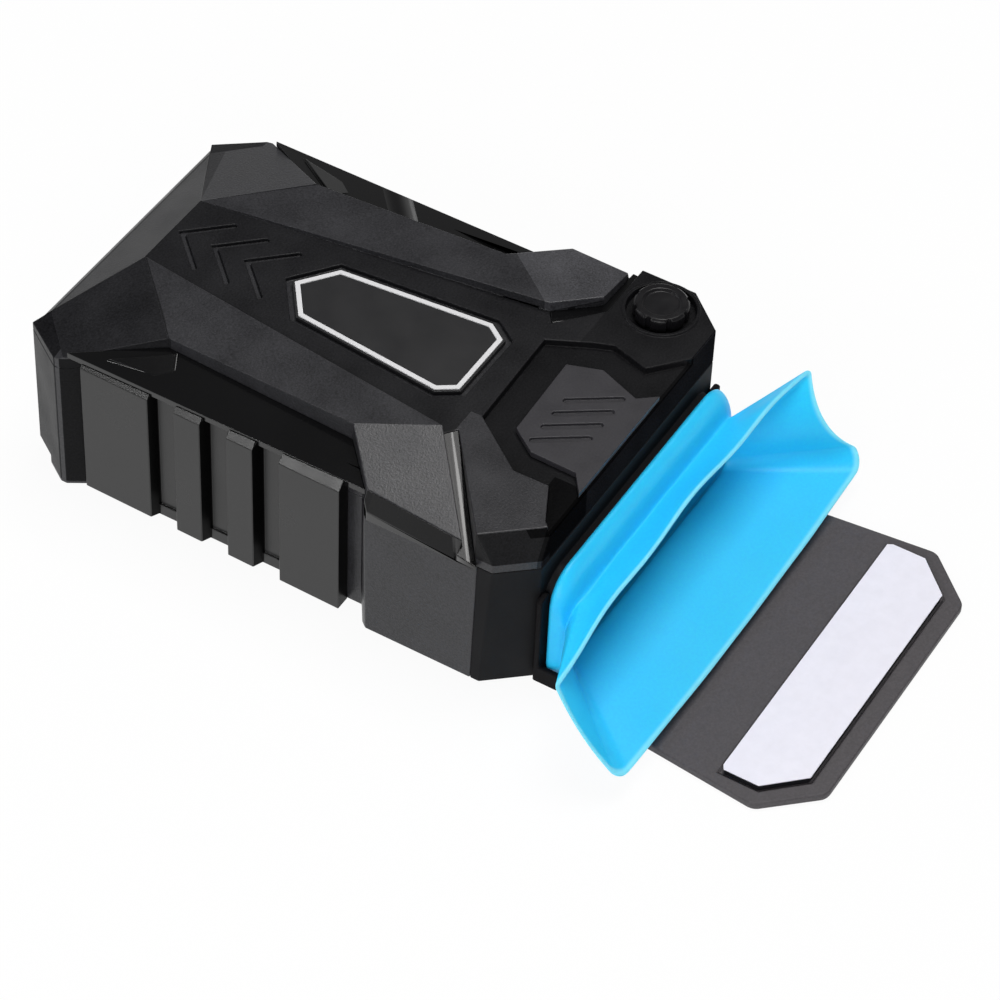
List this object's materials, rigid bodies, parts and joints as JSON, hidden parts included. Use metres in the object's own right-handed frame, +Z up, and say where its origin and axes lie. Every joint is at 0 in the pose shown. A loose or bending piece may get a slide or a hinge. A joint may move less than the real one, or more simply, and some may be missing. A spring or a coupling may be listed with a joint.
{
  "type": "laptop cooling fan",
  "caption": "Faceted box with a blower inside, a soft funnel that covers a laptop's side vent, a speed knob and a sliding support plate with an adhesive pad.",
  "frame": {"origin": "middle of the base, on the surface that the feet and the support plate stand on", "axes": "+X to the side with the knob and the power socket, -Y towards the laptop's vent, +Y to the outlet grille, +Z up"},
  "size_m": [0.1009, 0.1781, 0.0431],
  "materials": {
    "housing_abs": "fine moulded grain",
    "panel_abs": "satin moulded",
    "gloss_trim": "polished",
    "relief_abs": "moulded",
    "badge_face": "printed film, satin",
    "badge_line": "satin white",
    "inner_abs": "moulded",
    "silicone": "smooth moulded silicone",
    "bracket_abs": "satin moulded",
    "foam": "closed-cell foam tape",
    "liner": "coated release paper",
    "knob_abs": "satin moulded",
    "steel": "plated",
    "circuit_board": "solder mask",
    "chip_resin": "moulded resin",
    "can_aluminium": "bare",
    "impeller_abs": "moulded",
    "magnet": "bonded ferrite",
    "bronze": "sintered",
    "copper": "enamelled wire",
    "rubber": "matt"
  },
  "bodies": {
    "housing": {"top_shell": "housing_abs", "bottom_shell": "housing_abs", "front_bezel": "housing_abs", "side_panel_left": "panel_abs", "side_panel_right": "panel_abs", "side_strip_left": "gloss_trim", "side_strip_right": "gloss_trim", "corner_fin_left": "gloss_trim", "corner_fin_right": "gloss_trim", "relief_inlay": "relief_abs", "badge_plate": "badge_face", "badge_border": "badge_line", "rear_grille": "inner_abs", "suction_hood": "silicone", "potentiometer": "steel", "control_board": "circuit_board", "board_screws": "steel", "control_chip": "chip_resin", "capacitor": "can_aluminium", "power_socket": "inner_abs", "fan_casing": "inner_abs", "fan_cover": "inner_abs", "fan_screws": "steel", "bearing_sleeve": "bronze", "stator_core": "steel", "stator_windings": "copper", "fan_board": "circuit_board", "case_screws": "steel", "rubber_feet": "rubber"},
    "fan_rotor": {"impeller": "impeller_abs", "rotor_magnet": "magnet", "fan_shaft": "steel"},
    "knob": {"speed_knob": "knob_abs", "knob_shaft": "steel"},
    "bracket": {"support_bracket": "bracket_abs", "pad_foam": "foam", "pad_liner": "liner"}
  },
  "joints": [
    {"name": "fan_spin", "type": "hinge", "parent": "housing", "child": "fan_rotor", "pos_m": [0, 0.043, 0.015], "axis": [0, 0, 1], "continuous": true},
    {"name": "knob_turn", "type": "hinge", "parent": "housing", "child": "knob", "pos_m": [0.0323, -0.0161, 0.041], "axis": [0, 0, 1], "range_deg": [-270, 0]},
    {"name": "bracket_slide", "type": "slide", "parent": "housing", "child": "bracket", "axis": [0, 0, 1], "range_m": [-0.01, 0]}
  ]
}
